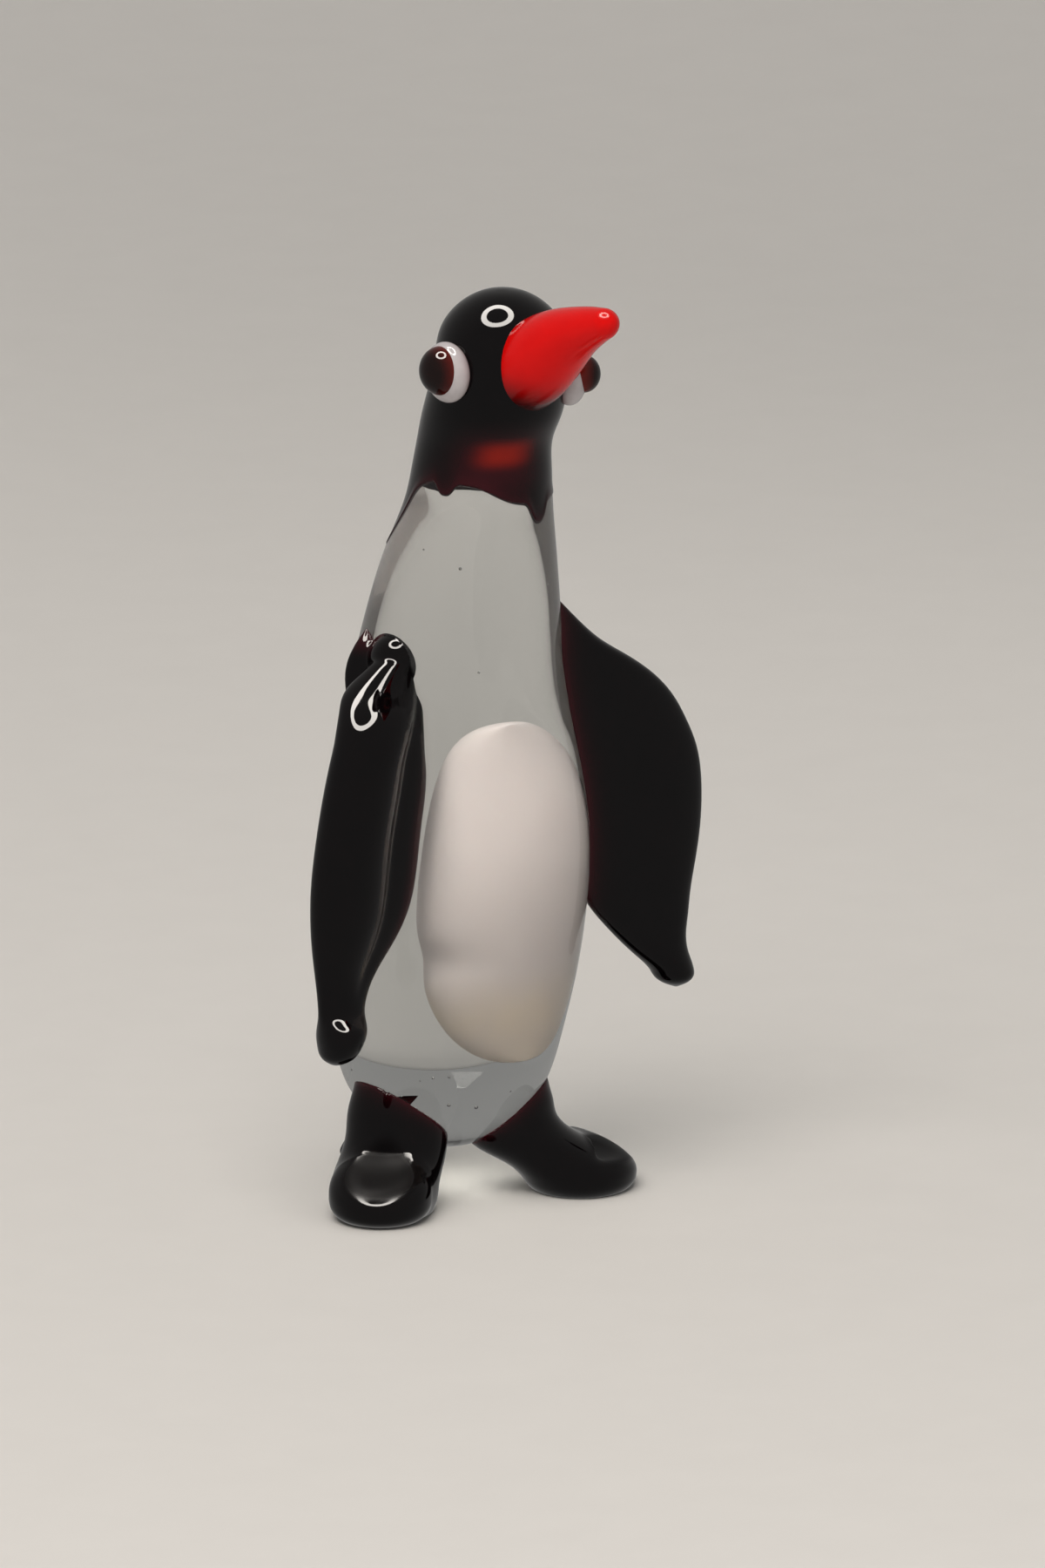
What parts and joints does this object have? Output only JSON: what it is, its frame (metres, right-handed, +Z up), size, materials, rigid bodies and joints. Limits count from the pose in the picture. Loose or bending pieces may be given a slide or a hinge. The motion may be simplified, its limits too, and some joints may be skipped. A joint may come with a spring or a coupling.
{
  "type": "penguin figurine",
  "caption": "Standing solid-glass penguin ornament: clear body with a white belly cased inside, black head, wings, feet and tail, and a red beak.",
  "frame": {"origin": "on the floor, below the middle of the figure's bounding box", "axes": "+Z up, the penguin faces -Y, and its right side is -X"},
  "size_m": [0.035, 0.032, 0.0709],
  "materials": {
    "clear_glass": "gloss",
    "opal_white_glass": "gloss",
    "black_glass": "gloss",
    "red_glass": "gloss",
    "eye_white_glass": "gloss",
    "pupil_glass": "gloss"
  },
  "bodies": {
    "root": {"body_glass": "clear_glass", "belly_core": "opal_white_glass", "hood": "black_glass", "beak": "red_glass", "eye_white_right": "eye_white_glass", "eye_white_left": "eye_white_glass", "pupil_right": "pupil_glass", "pupil_left": "pupil_glass", "wing_right": "black_glass", "wing_left": "black_glass", "foot_right": "black_glass", "foot_left": "black_glass", "tail": "black_glass"}
  },
  "joints": []
}
